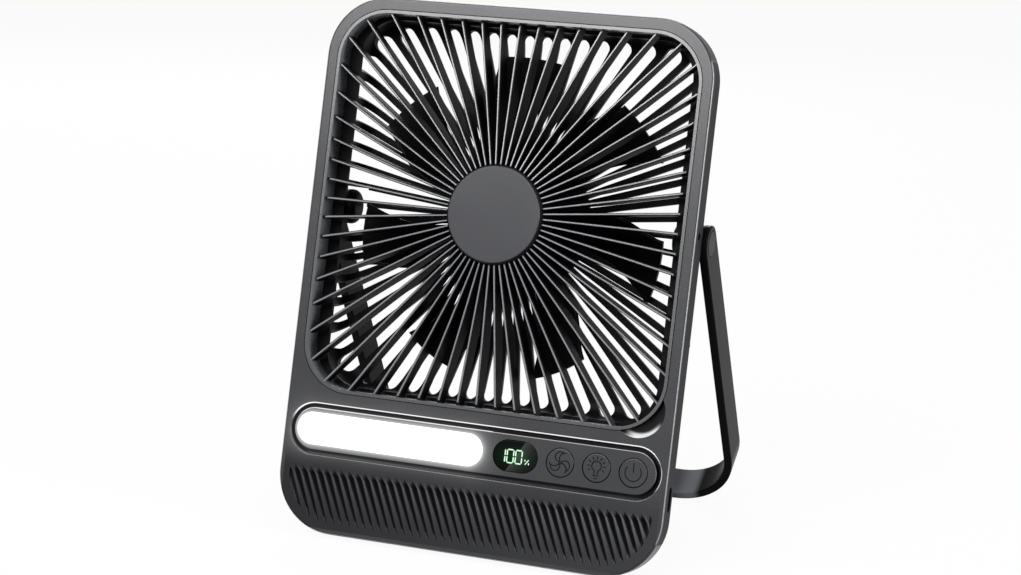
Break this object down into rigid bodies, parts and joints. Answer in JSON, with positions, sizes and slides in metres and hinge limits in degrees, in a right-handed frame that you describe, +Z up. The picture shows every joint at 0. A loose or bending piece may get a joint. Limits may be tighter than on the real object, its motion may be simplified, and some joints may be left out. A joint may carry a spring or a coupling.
{
  "type": "portable fan",
  "caption": "Flat portable fan with a square radial guard, light bar, charge display, push buttons and a swing-out stand that doubles as a carry handle.",
  "frame": {"origin": "centre of the bounding box on the table, under the fan as it stands with its stand swung out", "axes": "+Z up, the face looks toward -Y and leans back, the stand is behind it toward +Y, the charging socket is on the +X side"},
  "size_m": [0.1632, 0.1286, 0.2116],
  "materials": {
    "case": "satin charcoal",
    "rear_case": "matte charcoal",
    "front_guard": "semi-gloss charcoal",
    "hub": "fine matte grey",
    "rear_guard": "matte black",
    "blade": "black",
    "panel": "satin charcoal",
    "lens": "frosted white, lit",
    "window": "smoked gloss",
    "button": "satin charcoal",
    "stand": "satin charcoal",
    "cap": "satin charcoal",
    "rubber": "matte",
    "socket": "plain",
    "steel": "plain",
    "bush": "plain",
    "washer": "slick",
    "board": "solder mask",
    "chip": "plain",
    "display": "plain",
    "switch": "plain",
    "cell": "shrink wrapped",
    "nickel": "plain",
    "cradle": "plain",
    "motor_foot": "cast",
    "core": "laminated",
    "copper": "enamelled wire",
    "can": "zinc",
    "magnet": "sintered",
    "screw": "black zinc"
  },
  "bodies": {
    "case": {"front_shell": "case", "rear_shell": "rear_case", "rear_grille": "rear_guard", "control_panel": "panel", "lamp_lens": "lens", "display_window": "window", "display_module": "display", "led_board": "board", "led_chips": "chip", "main_board": "board", "tact_switches": "switch", "usb_socket": "socket", "battery_cells": "cell", "battery_tabs": "nickel", "battery_cradle": "cradle", "motor_base": "motor_foot", "motor_stator": "core", "motor_coils": "copper", "motor_bearings": "steel", "motor_screws": "screw", "board_screws": "screw", "case_screws": "screw", "grille_screws": "screw", "hinge_bushes": "bush", "hinge_washers": "washer", "base_feet": "rubber"},
    "rotor": {"fan_impeller": "blade", "rotor_can": "can", "rotor_magnet": "magnet", "motor_shaft": "steel"},
    "guard": {"front_grille": "front_guard", "hub_cap": "hub"},
    "stand": {"stand_frame": "stand", "stand_pad": "rubber", "hinge_pins": "steel", "pivot_caps": "cap"},
    "fan_button": {"button_fan": "button"},
    "light_button": {"button_light": "button"},
    "power_button": {"button_power": "button"}
  },
  "joints": [
    {"name": "fan_spin", "type": "hinge", "parent": "case", "child": "rotor", "pos_m": [0, -0.03453, 0.13212], "axis": [0, -0.9744, 0.225], "continuous": true},
    {"name": "stand_hinge", "type": "hinge", "parent": "case", "child": "stand", "pos_m": [0, -0.01624, 0.126], "axis": [1, 0, 0], "range_deg": [-44.5, 135.5]},
    {"name": "grille_lift", "type": "slide", "parent": "case", "child": "guard", "axis": [0, -0.9744, 0.225], "range_m": [0, 0.02]},
    {"name": "fan_press", "type": "slide", "parent": "case", "child": "fan_button", "axis": [0, 0.9744, -0.225], "range_m": [0, 0.0005], "stiffness_N_per_m": 400, "springref_m": -0.002},
    {"name": "light_press", "type": "slide", "parent": "case", "child": "light_button", "axis": [0, 0.9744, -0.225], "range_m": [0, 0.0005], "stiffness_N_per_m": 400, "springref_m": -0.002},
    {"name": "power_press", "type": "slide", "parent": "case", "child": "power_button", "axis": [0, 0.9744, -0.225], "range_m": [0, 0.0005], "stiffness_N_per_m": 400, "springref_m": -0.002}
  ]
}
